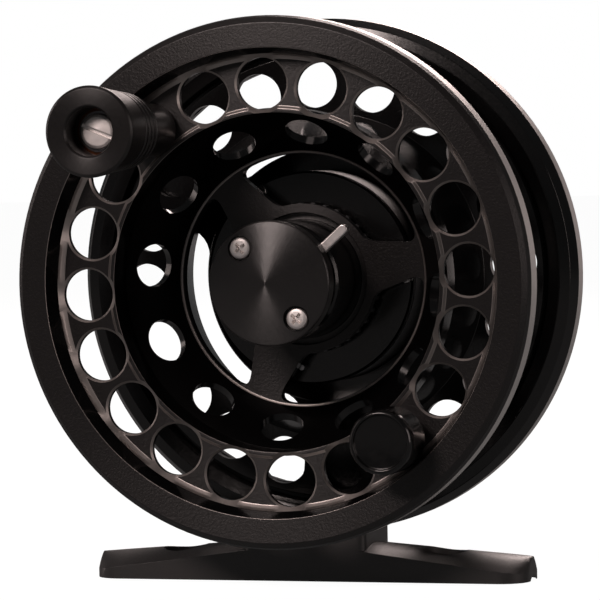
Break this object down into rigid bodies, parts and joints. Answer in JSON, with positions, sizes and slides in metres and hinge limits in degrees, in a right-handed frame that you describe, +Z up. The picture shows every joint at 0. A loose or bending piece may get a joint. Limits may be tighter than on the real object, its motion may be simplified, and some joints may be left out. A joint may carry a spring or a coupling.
{
  "type": "fly reel",
  "caption": "Large-arbor fly reel with perforated spool, tapered handle, counterweight, disc drag with rear knob, quick-release lever and reel foot.",
  "frame": {"origin": "middle of the underside of the reel foot, on the plane of its two rails", "axes": "+Z up, from the foot to the spool axis; +X along the foot, to the right seen from the handle side; +Y along the spool axis, from the handle to the drag knob"},
  "size_m": [0.08, 0.0713, 0.0863],
  "materials": {
    "black_frame": "satin anodised, bare turned band on the rim",
    "black_foot": "satin anodised",
    "black_spool": "satin anodised, bare turned band on the rim",
    "black_cap": "fine turned, anodised",
    "black_knob": "satin anodised",
    "black_post": "satin anodised",
    "gloss_black": "gloss anodised",
    "black_drag_knob": "satin anodised",
    "black_cover": "satin anodised",
    "bright_steel": "bright",
    "dark_screws": "blackened",
    "spring_steel": "drawn wire and sheet",
    "plain_aluminium": "machined",
    "brass": "machined",
    "seal_rubber": "matt",
    "friction_composite": "woven carbon composite"
  },
  "bodies": {
    "frame": {"frame": "black_frame", "reel_foot": "black_foot", "foot_screws": "dark_screws", "spindle": "bright_steel", "spindle_nut": "bright_steel", "drag_cover": "black_cover", "drag_cover_screws": "bright_steel", "hub_seal": "seal_rubber", "friction_discs": "friction_composite", "knob_clip": "spring_steel", "detent_ball": "bright_steel", "detent_spring": "spring_steel", "pawl_pin": "bright_steel", "pawl_spring": "spring_steel"},
    "drag_knob": {"drag_knob": "black_drag_knob", "knob_cover": "black_drag_knob"},
    "pressure_plate": {"pressure_plate": "plain_aluminium", "wave_spring": "spring_steel", "thrust_pins": "bright_steel"},
    "drag_rotor": {"drag_hub": "plain_aluminium", "steel_discs": "bright_steel", "one_way_clutch": "bright_steel", "clutch_rollers": "bright_steel"},
    "spool": {"spool": "black_spool", "drive_sleeve": "bright_steel", "spool_bushes": "brass", "hub_cap": "black_cap", "hub_cap_screws": "bright_steel", "click_gear": "dark_screws", "latch_spring": "spring_steel", "handle_post": "black_post", "handle_screw": "bright_steel", "handle_washer": "bright_steel", "counterweight": "gloss_black", "ring_screws": "dark_screws"},
    "release_lever": {"release_lever": "bright_steel"},
    "handle_knob": {"handle_knob": "black_knob", "handle_bushes": "brass"},
    "click_pawl": {"click_pawl": "dark_screws"}
  },
  "joints": [
    {"name": "spool_turn", "type": "hinge", "parent": "frame", "child": "spool", "pos_m": [0, -0.02275, 0.0463], "axis": [0, 1, 0], "continuous": true},
    {"name": "handle_turn", "type": "hinge", "parent": "spool", "child": "handle_knob", "pos_m": [-0.01894, -0.03975, 0.06944], "axis": [0, 1, 0], "continuous": true},
    {"name": "release_lever_slide", "type": "slide", "parent": "spool", "child": "release_lever", "axis": [-0.7431, 0, -0.6691], "range_m": [0, 0.00085], "stiffness_N_per_m": 400, "springref_m": -0.0008, "deforming": ["latch_spring"]},
    {"name": "drag_knob_turn", "type": "hinge", "parent": "frame", "child": "drag_knob", "pos_m": [0, 0.01825, 0.0463], "axis": [0, -1, 0], "range_deg": [0, 270]},
    {"name": "pressure_plate_slide", "type": "slide", "parent": "frame", "child": "pressure_plate", "axis": [0, -1, 0], "range_m": [0, 0.0006]},
    {"name": "drag_rotor_turn", "type": "hinge", "parent": "frame", "child": "drag_rotor", "pos_m": [0, 0.00425, 0.0463], "axis": [0, 1, 0], "continuous": true},
    {"name": "click_pawl_swing", "type": "hinge", "parent": "frame", "child": "click_pawl", "pos_m": [-0.00502, -0.00275, 0.03302], "axis": [0, 1, 0], "range_deg": [-5, 5], "stiffness_Nm_per_rad": 0.002}
  ],
  "couplings": [
    {"joint": "pressure_plate_slide", "follows": "drag_knob_turn", "m_per_rad": 0.00012732}
  ]
}
